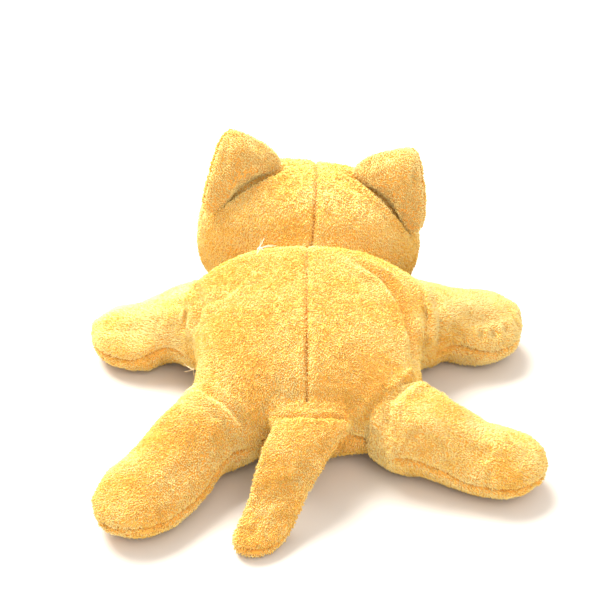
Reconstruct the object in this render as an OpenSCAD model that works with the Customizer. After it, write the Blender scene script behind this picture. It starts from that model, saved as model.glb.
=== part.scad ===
// Stuffed plush cat lying on its belly with its limbs spread.
// Millimetres, +Z up, +Y towards the head, +X towards the cat's right.
// The origin is on the floor, in the middle of the flat patch under the belly.

/* [Fabric] */
// Thickness of the plush fabric with its pile pressed flat
skin = 1.6; // [1.2:0.1:2]
// Play between a skin and the stuffing inside it
play = 0.3; // [0.2:0.05:0.5]
// Gap left at a seam between two fabric panels
seam = 0.3; // [0.2:0.05:0.5]

/* [Torso] */
// Length from the rump to the neck
torso_length = 120; // [116:1:124]
// Width across the flanks
torso_width = 121; // [118:1:123]
// Height of the back above the floor
torso_height = 70; // [68:1:74]

/* [Head] */
// Width across the cheeks
head_width = 131; // [126:1:134]
// Height of the crown above the floor
head_height = 86; // [84:1:90]
// Depth from the nape to the face
head_depth = 84; // [80:1:88]
// Sideways roll of the head, left ear up
head_roll = 6.5; // [0:0.5:8]

/* [Ears] */
// Width of an ear
ear_width = 60; // [56:1:62]
// Height of an ear above its base seam
ear_height = 32; // [30:1:35]
// Thickness of a wadded ear
ear_thickness = 13; // [11:1:14]
// Angle of an ear's base away from the middle of the crown
ear_angle = 38; // [36:1:41]

/* [Arms] */
// Length of an arm from its shoulder to its tip
arm_length = 52; // [50:1:54]
// Width of the left and the right front paw
arm_width = [50, 54]; // [48:1:56]
// Thickness of the left and the right front paw
arm_thickness = [27, 30]; // [25:1:32]
// How far the left and the right arm point forward of straight sideways
arm_yaw = [5, 17]; // [0:1:20]

/* [Legs] */
// Length of the left and the right leg from hip to tip
leg_length = [74, 66]; // [64:1:76]
// Width of the left and the right hind paw
leg_width = [54, 50]; // [48:1:56]
// Thickness of a hind paw
leg_thickness = 31; // [28:1:32]
// How far the left and the right leg point back of straight sideways
leg_yaw = [53, 18]; // [15:1:56]

/* [Tail] */
// Length of the tail from its seam to its tip
tail_length = 65; // [62:1:68]
// Width of the tail at its seam
tail_width = 38; // [34:1:40]
// Thickness of the tail
tail_thickness = 13; // [12:1:14]
// How far the tail points to the left of straight back
tail_yaw = 27; // [20:1:28]

/* [Eyes] */
// Diameter of an eye's dome
eye_diameter = 11; // [9:0.5:12]

/* [Hidden] */

FABRIC = "#f2b84b";
FILL = "#f4f1e8";
BLACK = "#141210";
THREAD = "#8a4f1d";

// Joint centres, on the body's left (-X) and right (+X).
NECK_R = 11;          // radius of the firm wad inside the neck
ARM_R = 15;           // radius of an arm's rounded root about its bending line
LEG_R = 17;           // radius of a leg's rounded root about its bending line
ROOT_WIDE = 1.25;     // a limb's root is this much wider than it is thick
TAIL_R = tail_thickness / 2;
FLANK = torso_width / 2;
RUMP = torso_length / 2;
NECK = [0, RUMP + 1, 37];
SHOULDER = [[-FLANK - 10.5, 39, 22], [FLANK + 10, 40, 22]];
HIP = [[-FLANK + 6.5, -RUMP + 0.5, 22], [FLANK - 0.5, -RUMP + 4, 22]];
TAIL = [2, -RUMP - TAIL_R - 1.8, 36];
WAD_PLAY = 0.6;       // room round a root wad, so that the limb turns on it
FILL_IN = skin + play;

// ---------------------------------------------------------------- helpers

function up_to(a, b, t) = a + (b - a) * t;
function clamp01(t) = min(1, max(0, t));
function smooth(t) = let(c = clamp01(t)) c * c * (3 - 2 * c);
function bulge(t, p) = pow(max(0, 1 - pow(min(1, abs(t)), p)), 1 / p);
function signed_pow(a, p) = sign(a) * pow(abs(a), p);
function unit(a) = a / norm(a);

// A closed ring point: half width w, top and bottom heights about centre c, squareness n.
// The angle is 0 at the top and 90 on the +X side.
function ring_point(v, w, c, top, low, n = 2.3) =
    [w * signed_pow(sin(v), 2 / n),
     c + (cos(v) >= 0 ? top - c : c - low) * signed_pow(cos(v), 2 / n)];

// The two triangles of a quad, without those that have shrunk to nothing.
function quad(p, a, b, c, d) = [
    for (t = [[a, b, c], [a, c, d]])
        if (norm(p[t[0]] - p[t[1]]) > 1e-6 && norm(p[t[1]] - p[t[2]]) > 1e-6
            && norm(p[t[2]] - p[t[0]]) > 1e-6) t];

// A fabric panel: two matching grids of points and the rim that joins them.
module panel(outer, inner) {
    m = len(outer);
    n = len(outer[0]);
    p = [for (g = [outer, inner]) for (row = g) for (q = row) q];
    k = m * n;
    faces = [
        for (i = [0 : m - 2]) for (j = [0 : n - 2]) let(a = i * n + j)
            each concat(quad(p, a, a + n, a + n + 1, a + 1),
                        quad(p, k + a, k + a + 1, k + a + n + 1, k + a + n)),
        for (i = [0 : m - 2]) let(a = i * n, b = i * n + n - 1)
            each concat(quad(p, a, k + a, k + a + n, a + n),
                        quad(p, b, b + n, k + b + n, k + b)),
        for (j = [0 : n - 2]) let(a = j, b = (m - 1) * n + j)
            each concat(quad(p, a, a + 1, k + a + 1, k + a),
                        quad(p, b, k + b, k + b + 1, b + 1))
    ];
    polyhedron(p, faces, convexity = 4);
}

// A closed body from a stack of rings, the first and last shrunk to a point.
module stack(rings) {
    m = len(rings);
    n = len(rings[0]);
    p = [for (row = rings) for (q = row) q];
    faces = [for (i = [0 : m - 2]) for (j = [0 : n - 1])
        let(a = i * n + j, b = i * n + (j + 1) % n)
            each quad(p, a, a + n, b + n, b)];
    polyhedron(p, faces, convexity = 4);
}

function steps(a, b, n) = [for (i = [0 : n]) up_to(a, b, i / n)];
// Turns from 0 to just under 360, for a closed ring.
function round_steps(n) = [for (i = [0 : n - 1]) 360 * i / n];

// ---------------------------------------------------------------- torso

TORSO_OPEN = 0.955;                  // where the neck opening cuts the torso
TORSO_SEAM = 108;                     // ring angle of the side seams
function torso_point(t, v, in) = let(
        y = t * (torso_length / 2 - in),
        w = (torso_width / 2 - in) * (t < 0 ? bulge(t, 2.35) : bulge(t, 3.2)),
        c = up_to(34, 37, (t + 1) / 2),
        crest = 0.2,
        s = t < crest ? (t - crest) / (1 + crest) : (t - crest) / (1 - crest),
        top = c + (torso_height - in - c) * (t < crest ? bulge(s, 2.1) : bulge(s, 2.5)),
        low = c - (c + 4 - in) * (t < 0 ? bulge(t, 5) : bulge(t, 2.6)),
        q = ring_point(v, w, c, top, low))
    [q[0], y, max(in, q[1])];
function torso_grid(t0, t1, m, v0, v1, n, in, off) = [
    for (a = steps(asin(t0), asin(t1), m)) [
        for (v = steps(v0, v1, n)) torso_point(sin(a), v, in) + off]];
module torso_panel(v0, v1, n, off) {
    panel(torso_grid(-1, TORSO_OPEN, 18, v0, v1, n, 0, off),
          torso_grid(-1, TORSO_OPEN, 18, v0, v1, n, skin, off));
}
module torso_back_right() {
    color(FABRIC) torso_panel(0, TORSO_SEAM, 9, [seam / 2, 0, seam]);
}
module torso_back_left() {
    color(FABRIC) torso_panel(-TORSO_SEAM, 0, 9, [-seam / 2, 0, seam]);
}
module torso_belly() {
    color(FABRIC) torso_panel(TORSO_SEAM, 360 - TORSO_SEAM, 12, [0, 0, 0]);
}
module torso_stuffing() {
    cup = NECK_R + WAD_PLAY;
    edge = 48;
    color(FILL) stack(concat(
        torso_grid(-1, TORSO_OPEN - 0.02, 15, 0, 360 - 360 / 28, 27, FILL_IN, [0, 0, 0]),
        [for (a = steps(edge, 0, 4)) [
            for (v = round_steps(28)) NECK + cup * [sin(a) * sin(v), -cos(a), sin(a) * cos(v)]]]));
}

// ---------------------------------------------------------------- neck

module neck_stuffing() {
    color(FILL) stack([for (a = steps(0, 180, 10)) [
        for (v = round_steps(20)) NECK + NECK_R * [sin(a) * sin(v), -cos(a), sin(a) * cos(v)]]]);
}

// ---------------------------------------------------------------- head

HEAD = [0, NECK[1] - 1 + head_depth / 2, head_height / 2];
HEAD_SEAM = -0.15;                    // where the back of the head meets the face
HEAD_OPEN = -0.93;
// Leans the head about the neck and keeps the fabric above the floor.
function lean(p, in) = let(d = p - NECK,
        q = [d[0] * cos(head_roll) + d[2] * sin(head_roll), d[1],
             -d[0] * sin(head_roll) + d[2] * cos(head_roll)] + NECK)
    [q[0], q[1], max(in, q[2])];
function head_upright(t, v, in) = let(
        w = (head_width / 2 - in) * bulge(t, 2.4),
        q = ring_point(v, w, HEAD[2] - 3,
            HEAD[2] - 3 + (HEAD[2] + 3 - in) * bulge(t, 2.3),
            HEAD[2] - 3 - (HEAD[2] - 1 - in) * bulge(t, 2.3), 2.4))
    [q[0], HEAD[1] + t * (head_depth / 2 - in), q[1]];
function head_point(t, v, in) = lean(head_upright(t, v, in), in);
function head_grid(t0, t1, m, v0, v1, n, in, off) = [
    for (a = steps(asin(t0), asin(t1), m)) [
        for (v = steps(v0, v1, n)) head_point(sin(a), v, in) + off]];
module head_panel(t0, t1, m, v0, v1, off) {
    panel(head_grid(t0, t1, m, v0, v1, 14, 0, off),
          head_grid(t0, t1, m, v0, v1, 14, skin, off));
}
module head_back_right() {
    color(FABRIC) head_panel(HEAD_OPEN, HEAD_SEAM, 6, 0, 180, [seam / 2, -seam / 2, 0]);
}
module head_back_left() {
    color(FABRIC) head_panel(HEAD_OPEN, HEAD_SEAM, 6, 180, 360, [-seam / 2, -seam / 2, 0]);
}
// Place and tilt of an eye: on the skin, looking along the skin's own normal.
EYE_T = 0.84;
function eye_ring(side) = side * 62;
function eye_spot(side) = head_point(EYE_T, eye_ring(side), 0) + [side * seam / 2, seam / 2, 0];
function eye_normal(side) = let(v = eye_ring(side))
    unit(side * cross(head_point(EYE_T, v + 2, 0) - head_point(EYE_T, v - 2, 0),
                      head_point(EYE_T + 0.01, v, 0) - head_point(EYE_T - 0.01, v, 0)) * side);
module at_eye(side) {
    n = eye_normal(side);
    translate(eye_spot(side)) rotate([0, acos(n[2]), atan2(n[1], n[0])]) children();
}
SHANK_R = 2.2;
module head_face_right() {
    color(FABRIC) difference() {
        head_panel(HEAD_SEAM, 1, 11, 0, 180, [seam / 2, seam / 2, 0]);
        at_eye(1) cylinder(r = SHANK_R + 0.15, h = 12, center = true, $fn = 32);
    }
}
module head_face_left() {
    color(FABRIC) difference() {
        head_panel(HEAD_SEAM, 1, 11, 180, 360, [-seam / 2, seam / 2, 0]);
        at_eye(-1) cylinder(r = SHANK_R + 0.15, h = 12, center = true, $fn = 32);
    }
}
WASHER_R = 6;
WASHER_DEEP = 3.6;                    // from the skin's face to the washer's outer face
module head_stuffing() {
    cup = NECK_R + WAD_PLAY;
    edge = 48;
    color(FILL) difference() {
        stack(concat(
            [for (a = steps(0, edge, 4)) [
                for (v = round_steps(28)) NECK + cup * [sin(a) * sin(v), cos(a), sin(a) * cos(v)]]],
            head_grid(HEAD_OPEN + 0.02, 1, 15, 0, 360 - 360 / 28, 27, FILL_IN, [0, 0, 0])));
        for (side = [-1, 1]) at_eye(side)
            translate([0, 0, -9]) cylinder(r = WASHER_R + 0.5, h = 14, $fn = 32);
    }
}
module eye(side) {
    r = eye_diameter / 2;
    color(BLACK) at_eye(side) rotate_extrude($fn = 64) polygon(concat(
        [[0, -8], [SHANK_R, -8], [SHANK_R, 0.7], [r, 0.7], [r, 1.1]],
        [for (a = steps(12, 90, 8)) [r * cos(a), 1.1 + 3.4 * sin(a) - 3.4 * sin(12) + 0.1]]));
}
module eye_left() { eye(-1); }
module eye_right() { eye(1); }
module eye_washer(side) {
    color("#e9e9e4") at_eye(side) translate([0, 0, -WASHER_DEEP - 1.4]) difference() {
        cylinder(r = WASHER_R, h = 1.4, $fn = 48);
        translate([0, 0, -1]) cylinder(r = SHANK_R + 0.1, h = 4, $fn = 32);
    }
}
module eye_washer_left() { eye_washer(-1); }
module eye_washer_right() { eye_washer(1); }
// Embroidery lies on the face: a patch of the face's own surface, lifted a little.
function face_lift(x, z, in) = let(
        v = atan2(x, z - (HEAD[2] - 3)),
        // ring parameter whose point lies at this x and z, by halving
        t = face_search(x, z, v, 0.2, 1, 18))
    head_point(t, v, in) + [0, seam / 2, 0];
function face_reach(t, v) = let(q = head_upright(t, v, 0)) norm([q[0], q[2] - (HEAD[2] - 3)]);
function face_search(x, z, v, a, b, n) = let(m = (a + b) / 2)
    n == 0 ? m : face_reach(m, v) > norm([x, z - (HEAD[2] - 3)])
        ? face_search(x, z, v, m, b, n - 1) : face_search(x, z, v, a, m, n - 1);
NOSE = [0, 40];
function nose_grid(in) = [for (i = [0 : 5]) let(s = i / 5, w = 6 * pow(1 - s, 0.7) + 0.8) [
    for (j = [-3 : 3]) face_lift(w * j / 3 + 0.05, NOSE[1] + 3.5 - 7 * s - 0.6 * (1 - pow(j / 3, 2)), in)]];
module nose_stitching() { color(THREAD) panel(nose_grid(-1.3), nose_grid(-0.25)); }
function mouth_line(s) = let(a = abs(s), side = sign(s))
    [side * (0.6 + 9 * a), NOSE[1] - 9.5 - 4.2 * sin(180 * a)];
function mouth_grid(in) = [for (i = [-8 : 8]) let(q = mouth_line(i / 8)) [
    for (j = [-1 : 1]) face_lift(q[0], q[1] + 0.8 * j, in)]];
module mouth_stitching() { color(THREAD) panel(mouth_grid(-1), mouth_grid(-0.25)); }

// ---------------------------------------------------------------- ears

EAR_CORE = 0.36;                      // height of an ear's thickest place
EAR_SHEAR = 7;                        // how far the tip sits inward of the base's middle
function ear_outline(f, in, side) = let(
        s = (1 + sin(f)) / 2,
        x = (ear_width / 2.38 - in) * signed_pow(cos(f), 0.8) * (1 - 0.6 * sin(f)),
        h = ear_height - 2 * in,
        z = in + h * pow(s, 1.5))
    [x - side * EAR_SHEAR * pow(s, 1.5), z - x * x / 130 * (1 - pow(s, 1.5))];
// Points of one face of the ear, from its middle out to its seam; face 1 looks forward.
function ear_dome(side, face, in, n, off) = [for (a = steps(0, 90, 4)) [
    for (f = round_steps(n)) let(o = ear_outline(f, in, side),
        c = [-side * EAR_SHEAR * 0.3, ear_height * EAR_CORE], q = c + (o - c) * sin(a))
        [q[0], face * ((ear_thickness / 2 - in) * bulge(sin(a), 2.1) + off), q[1]]]];
module ear_panel(side, face) {
    n = 22;
    outer = ear_dome(side, face, 0, n, seam / 2);
    inner = ear_dome(side, face, skin, n, seam / 2);
    rings = concat(outer, [for (i = [4 : -1 : 0]) inner[i]]);
    color(FABRIC) stack(face > 0 ? rings : [for (i = [len(rings) - 1 : -1 : 0]) rings[i]]);
}
module ear_fill(side) {
    n = 22;
    front = ear_dome(side, -1, FILL_IN, n, 0);
    back = ear_dome(side, 1, FILL_IN, n, 0);
    color(FILL) stack(concat(back, [for (i = [3 : -1 : 0]) front[i]]));
}
EAR_CLEAR = 1.2;
EAR_TURN = 32;                        // the outer end of an ear's base lies further back
EAR_BACK = 10;                        // an ear leans back a little
function ear_root(side) = let(p = head_upright(HEAD_SEAM, side * ear_angle, 0),
        q = head_upright(HEAD_SEAM, side * (ear_angle + 1), 0)
            - head_upright(HEAD_SEAM, side * (ear_angle - 1), 0),
        n = unit([-q[2], 0, q[0]] * side))
    [p + n * EAR_CLEAR, atan2(n[0], n[2])];
module at_ear(side) {
    r = ear_root(side);
    translate(lean(r[0], 0)) rotate([0, head_roll, 0])
        rotate([0, r[1], 0]) rotate([EAR_BACK, 0, -side * EAR_TURN]) children();
}
module ear_left_back() { at_ear(-1) ear_panel(-1, -1); }
module ear_left_front() { at_ear(-1) ear_panel(-1, 1); }
module ear_left_wadding() { at_ear(-1) ear_fill(-1); }
module ear_right_back() { at_ear(1) ear_panel(1, -1); }
module ear_right_front() { at_ear(1) ear_panel(1, 1); }
module ear_right_wadding() { at_ear(1) ear_fill(1); }

// ---------------------------------------------------------------- limbs

// A limb: [joint centre, heading, length, half width, thickness, root radius, seam angle].
// Headings are turns about +Z from +X.
ARM = [for (i = [0, 1]) [SHOULDER[i], i == 0 ? 180 - arm_yaw[0] : arm_yaw[1],
    arm_length, arm_width[i] / 2, arm_thickness[i], ARM_R, 112]];
LEG = [for (i = [0, 1]) [HIP[i], i == 0 ? 180 + leg_yaw[0] : -leg_yaw[1],
    leg_length[i], leg_width[i] / 2, leg_thickness, LEG_R, 114]];

// One ring point of a limb at distance x from its joint, in the world.
LIMB_TIP = 0.42;                      // where a limb starts to round off to its tip
function limb_ring(l, x, v, in) = let(
        j = l[0], r = l[5] - in, s = x / (l[2] - in),
        ball = sqrt(max(0, r * r - x * x)),
        grow = smooth((s + 0.02) / 0.45),
        end = bulge(max(0, s - LIMB_TIP) / (1 - LIMB_TIP), 2.3),
        wide = l[5] * ROOT_WIDE - in,
        w = max(ball * wide / r, up_to(wide, l[3] - in, grow) * end),
        h = max(ball, up_to(r, l[4] / 2 - in, smooth(s / 0.5)) * end),
        mid = up_to(up_to(j[2], l[4] / 2 - 1.5, smooth(s / 0.55)), l[4] * 0.36, 1 - end),
        q = x <= 0 ? [ball * sin(v) * wide / r, j[2] + ball * cos(v)]
                   : ring_point(v, w, mid, mid + h, mid - h, up_to(2, 2.25, grow)))
    [j[0] + x * cos(l[1]) + q[0] * sin(l[1]), j[1] + x * sin(l[1]) - q[0] * cos(l[1]),
     max(in, q[1])];
// Distances of the rings along a limb, from its root's pole to its tip.
function limb_stations(l, in) = let(r = l[5] - in, len = l[2] - in) concat(
    [for (a = steps(0, 72, 3)) -r * cos(a)],
    [for (a = steps(0, 90, 8)) len * sin(a)]);
function limb_grid(l, v0, v1, n, in, off) = [
    for (x = limb_stations(l, in)) [for (v = steps(v0, v1, n)) limb_ring(l, x, v, in) + off]];
module limb_top(l) {
    color(FABRIC) panel(limb_grid(l, -l[6], l[6], 12, 0, [0, 0, seam]),
                        limb_grid(l, -l[6], l[6], 12, skin, [0, 0, seam]));
}
module limb_underside(l) {
    color(FABRIC) panel(limb_grid(l, l[6], 360 - l[6], 6, 0, [0, 0, 0]),
                        limb_grid(l, l[6], 360 - l[6], 6, skin, [0, 0, 0]));
}
// Stuffing of the limb beyond its root wad, cupped to go round the wad.
module limb_stuffing(l) {
    n = 18;
    r = l[5] - skin - 0.1;
    edge = 38;
    len = l[2] - FILL_IN;
    x0 = r * cos(edge);
    color(FILL) stack(concat(
        [for (a = steps(0, edge, 3)) [for (v = round_steps(n))
            l[0] + r * [cos(a) * cos(l[1]) + sin(a) * sin(v) * sin(l[1]),
                        cos(a) * sin(l[1]) - sin(a) * sin(v) * cos(l[1]), sin(a) * cos(v)]]],
        [for (x = [for (a = steps(asin(x0 / len), 90, 7)) len * sin(a)])
            [for (v = round_steps(n)) limb_ring(l, x, v, FILL_IN)]]));
}
module limb_root(l) {
    r = l[5] - skin - WAD_PLAY;
    color(FILL) stack([for (a = steps(0, 180, 8)) [for (v = round_steps(16))
        l[0] + r * [-cos(a) * cos(l[1]) + sin(a) * sin(v) * sin(l[1]),
                    -cos(a) * sin(l[1]) - sin(a) * sin(v) * cos(l[1]), sin(a) * cos(v)]]]);
}
module arm_left_top() { limb_top(ARM[0]); }
module arm_left_underside() { limb_underside(ARM[0]); }
module arm_left_stuffing() { limb_stuffing(ARM[0]); }
module arm_left_root_stuffing() { limb_root(ARM[0]); }
module arm_right_top() { limb_top(ARM[1]); }
module arm_right_underside() { limb_underside(ARM[1]); }
module arm_right_stuffing() { limb_stuffing(ARM[1]); }
module arm_right_root_stuffing() { limb_root(ARM[1]); }
module leg_left_top() { limb_top(LEG[0]); }
module leg_left_underside() { limb_underside(LEG[0]); }
module leg_left_stuffing() { limb_stuffing(LEG[0]); }
module leg_left_root_stuffing() { limb_root(LEG[0]); }
module leg_right_top() { limb_top(LEG[1]); }
module leg_right_underside() { limb_underside(LEG[1]); }
module leg_right_stuffing() { limb_stuffing(LEG[1]); }
module leg_right_root_stuffing() { limb_root(LEG[1]); }

// ---------------------------------------------------------------- tail

// The tail leaves the rump level and straight, leans to the left and droops to the floor.
TAIL_REACH = tail_length * cos(tail_yaw);
TAIL_BLUNT = 0.8;                     // where the tail starts to round off to its tip
function tail_height(s) = up_to(TAIL[2], TAIL_R * 0.9, smooth(s * 1.02));
function tail_ring(x, v, in) = let(
        s = x / (TAIL_REACH - in),
        root = TAIL_R - in,
        end = bulge(max(0, s - TAIL_BLUNT) / (1 - TAIL_BLUNT), 2.2),
        w = x < 0 ? (tail_width / 2 - in) * bulge(x / root, 2)
                  : up_to(tail_width / 2 - in, 13.5 - in, smooth(s * 1.1)) * end,
        h = x < 0 ? root * bulge(x / root, 2) : root * end,
        c = x < 0 ? TAIL[2] : tail_height(s),
        q = ring_point(v, w, c, c + h, c - h, 2.2))
    [TAIL[0] + q[0] - max(0, x) * tan(tail_yaw), TAIL[1] - x, max(in, q[1])];
function tail_blunt(len) = [for (a = steps(15, 90, 5))
    len * up_to(TAIL_BLUNT, 1, sin(a))];
function tail_stations(in) = let(r = TAIL_R - in, len = TAIL_REACH - in) concat(
    [for (a = steps(0, 70, 3)) -r * cos(a)], steps(0, TAIL_BLUNT * len, 8), tail_blunt(len));
function tail_grid(v0, v1, n, in, off) = [
    for (x = tail_stations(in)) [for (v = steps(v0, v1, n)) tail_ring(x, -v, in) + off]];
module tail_top() {
    color(FABRIC) panel(tail_grid(-90, 90, 10, 0, [0, 0, seam]),
                        tail_grid(-90, 90, 10, skin, [0, 0, seam]));
}
module tail_underside() {
    color(FABRIC) panel(tail_grid(90, 270, 10, 0, [0, 0, 0]),
                        tail_grid(90, 270, 10, skin, [0, 0, 0]));
}
module tail_stuffing() {
    len = TAIL_REACH - FILL_IN;
    x0 = TAIL_R - skin;
    start = (tail_ring(x0, 0, FILL_IN) + tail_ring(x0, 180, FILL_IN)) / 2;
    color(FILL) stack([
        [for (v = round_steps(20)) start],
        for (x = concat(steps(x0, TAIL_BLUNT * len, 7), tail_blunt(len)))
            [for (v = round_steps(20)) tail_ring(x, -v, FILL_IN)]]);
}
// A short roll of wadding across the tail's root, round about the tail's bending line.
module tail_root_stuffing() {
    r = TAIL_R - skin - WAD_PLAY;
    half = 11;
    color(FILL) stack([for (a = steps(0, 180, 10)) [for (v = round_steps(16))
        TAIL + [-half * cos(a), r * sin(a) * cos(v), r * sin(a) * sin(v)]]]);
}

// ---------------------------------------------------------------- output

torso_back_left();
torso_back_right();
torso_belly();
torso_stuffing();
neck_stuffing();
head_back_left();
head_back_right();
head_face_left();
head_face_right();
head_stuffing();
eye_left();
eye_right();
eye_washer_left();
eye_washer_right();
nose_stitching();
mouth_stitching();
ear_left_back();
ear_left_front();
ear_left_wadding();
ear_right_back();
ear_right_front();
ear_right_wadding();
arm_left_top();
arm_left_underside();
arm_left_stuffing();
arm_left_root_stuffing();
arm_right_top();
arm_right_underside();
arm_right_stuffing();
arm_right_root_stuffing();
leg_left_top();
leg_left_underside();
leg_left_stuffing();
leg_left_root_stuffing();
leg_right_top();
leg_right_underside();
leg_right_stuffing();
leg_right_root_stuffing();
tail_top();
tail_underside();
tail_stuffing();
tail_root_stuffing();
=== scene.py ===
# %% [markdown]
# # A plush cat lying on its belly
# The real toy is cut from short-pile plush, sewn inside out, turned and stuffed.
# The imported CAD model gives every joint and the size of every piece.
# This script builds the fabric, its seams and its pile around that frame.

# %% Load the frame
import math
import bpy
import numpy as np
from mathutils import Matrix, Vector


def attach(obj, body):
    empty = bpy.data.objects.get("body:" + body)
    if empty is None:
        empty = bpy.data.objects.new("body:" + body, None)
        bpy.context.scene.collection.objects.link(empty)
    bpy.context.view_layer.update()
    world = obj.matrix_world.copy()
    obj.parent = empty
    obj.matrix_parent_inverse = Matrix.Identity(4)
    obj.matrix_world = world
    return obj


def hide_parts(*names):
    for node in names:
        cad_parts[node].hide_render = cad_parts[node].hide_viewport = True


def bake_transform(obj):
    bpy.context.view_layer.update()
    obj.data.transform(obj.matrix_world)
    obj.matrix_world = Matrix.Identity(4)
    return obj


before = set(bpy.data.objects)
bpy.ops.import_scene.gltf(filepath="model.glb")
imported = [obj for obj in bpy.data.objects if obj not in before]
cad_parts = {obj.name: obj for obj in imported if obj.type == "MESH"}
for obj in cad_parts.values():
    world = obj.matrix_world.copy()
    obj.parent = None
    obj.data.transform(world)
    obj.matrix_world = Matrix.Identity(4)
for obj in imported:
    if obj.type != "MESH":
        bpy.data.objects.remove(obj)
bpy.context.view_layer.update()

# %% [markdown]
# ## Sizes
# Everything is worked out in millimetres and turned into metres when a mesh is made.
# The torso, head and tail have the CAD model's overall sizes. The limbs and ears are a few
# millimetres plumper, shorter or narrower than its own, as soft fabric allows. It would be
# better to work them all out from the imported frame, so that they could never drift from it.

# %% Sizes and joints
MM = 0.001
RING_FLOOR, MELD_FLOOR = 0.2, 0.3           # lowest a ring's or a melded skin's point may lie
TORSO_TURN, LIMB_TURN, TAIL_TURN = 100, 60, 44      # points round one ring of each skin
TORSO_HALF, TORSO_WIDE, TORSO_HIGH = 60.0, 60.5, 70.0
NECK = np.array([0.0, 61.0, 37.0])
HEAD_MID = np.array([0.0, 102.0, 43.0])
HEAD_WIDE, HEAD_DEEP, HEAD_HIGH = 65.5, 42.0, 86.0
HEAD_ROLL = math.radians(6.5)
HEAD_SEAM = -0.15
ARM_R, LEG_R, ROOT_WIDE = 18.0, 19.0, 1.2
LIMBS = {
    "arm_left": dict(joint=(-71, 39, 22), heading=175, length=49, half=24.5, thick=30, root=ARM_R),
    "arm_right": dict(joint=(70.5, 40, 22), heading=17, length=50, half=26.5, thick=36, root=ARM_R),
    "leg_left": dict(joint=(-54, -59.5, 22), heading=233, length=70.5, half=25, thick=31, root=LEG_R),
    "leg_right": dict(joint=(60, -56, 22), heading=-18, length=63, half=24, thick=31, root=LEG_R),
}
TAIL = np.array([2.0, -68.3, 36.0])
TAIL_YAW = math.radians(27)
TAIL_HALF, TAIL_R, TAIL_REACH = 19.0, 6.5, 65 * math.cos(TAIL_YAW)
EAR_OUTLINE = 2.38                          # an ear's outline is this many EAR_WIDE across
EAR_WIDE, EAR_HIGH, EAR_THICK, EAR_SHEAR = 58 / EAR_OUTLINE, 31.0, 12.0, 7.0
print("joints on", len(LIMBS), "limbs, with the neck, tail and ears")

# %% [markdown]
# ## Colour and nodes
# Colours are written as hex, as a maker would note them, and turned to linear light once.
# One small helper adds any node, sets its inputs and plugs in its links.

# %% Colour and node helpers
def colour(hex_code):
    rgb = [int(hex_code[i:i + 2], 16) / 255 for i in (1, 3, 5)]
    return [c / 12.92 if c <= 0.04045 else ((c + 0.055) / 1.055) ** 2.4 for c in rgb] + [1.0]


def add(tree, kind, inputs=None, **settings):
    node = tree.nodes.new(kind)
    for key, value in settings.items():
        setattr(node, key, value)
    for key, value in (inputs or {}).items():
        socket = node.inputs[key]
        if isinstance(value, bpy.types.NodeSocket):
            tree.links.new(value, socket)
        else:
            socket.default_value = value
    return node


def new_material(name):
    mat = bpy.data.materials.new(name)
    mat.use_nodes = True
    mat.node_tree.nodes.clear()
    out = mat.node_tree.nodes.new("ShaderNodeOutputMaterial")
    shader = add(mat.node_tree, "ShaderNodeBsdfPrincipled")
    mat.node_tree.links.new(shader.outputs[0], out.inputs[0])
    return mat, mat.node_tree, shader


# %% [markdown]
# ## The plush fabric
# The backing is a knitted cloth. Where the pile parts, its darker, richer colour shows;
# that darkness is partly painted shade, for the shade in the gaps between the tufts.
# Where the pile is bare, along the seams and round the eyes, the backing turns darker
# still: painted shade for the seams' grooves.
# Slow noise gives the patches that hands have brushed, and fine noise gives the knit's bump.
# A bump is enough for the knit, because the pile hides most of it.

# %% Backing material
def backing_material(name, deep, mid):
    mat, tree, shader = new_material(name)
    place = add(tree, "ShaderNodeTexCoord").outputs["Object"]
    patches = add(tree, "ShaderNodeTexNoise", {"Vector": place, "Scale": 90.0, "Detail": 5.0})
    tone = add(tree, "ShaderNodeMix", {0: patches.outputs[0], 6: colour(deep), 7: colour(mid)},
               data_type="RGBA")
    # Painted shade: where the pile value falls to nothing, along the seams and round the eyes, the backing
    # is mixed to a darker #bf7a24 for the shade in the seams' grooves.
    parted = add(tree, "ShaderNodeAttribute", attribute_name="pile")
    seam = add(tree, "ShaderNodeMapRange", {0: parted.outputs["Fac"], 1: 0.0, 2: 0.8, 3: 1.0, 4: 0.0})
    painted_seam_shade = add(tree, "ShaderNodeMix", {0: seam.outputs[0], 6: tone.outputs[2], 7: colour("#bf7a24")},
               data_type="RGBA")
    tree.links.new(painted_seam_shade.outputs[2], shader.inputs["Base Color"])
    knit = add(tree, "ShaderNodeTexNoise", {"Vector": place, "Scale": 900.0, "Detail": 3.0})
    bump = add(tree, "ShaderNodeBump", {"Height": knit.outputs[0], "Strength": 0.6, "Distance": 0.0006})
    tree.links.new(bump.outputs[0], shader.inputs["Normal"])
    shader.inputs["Roughness"].default_value = 0.9
    shader.inputs["Sheen Weight"].default_value = 0.3
    shader.inputs["Sheen Roughness"].default_value = 0.5
    return mat


# The backing's colours are darker than the pile's, partly as painted shade between the tufts.
backing = backing_material("plush_backing", "#dd9226", "#f7bd55")
print("made", backing.name)

# %% [markdown]
# The pile itself is thousands of small tufts. Each shade is one plain material, and every
# tuft takes one of them by chance, so the pile looks brushed without any pattern on it.

# %% Pile materials
def pile_material(name, hex_code):
    mat, _, shader = new_material(name)
    shader.inputs["Base Color"].default_value = colour(hex_code)
    shader.inputs["Roughness"].default_value = 0.75
    shader.inputs["Sheen Weight"].default_value = 0.45
    shader.inputs["Sheen Roughness"].default_value = 0.35
    shader.inputs["Sheen Tint"].default_value = colour("#ffe9b8")
    shader.inputs["Specular IOR Level"].default_value = 0.25
    return mat


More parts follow.
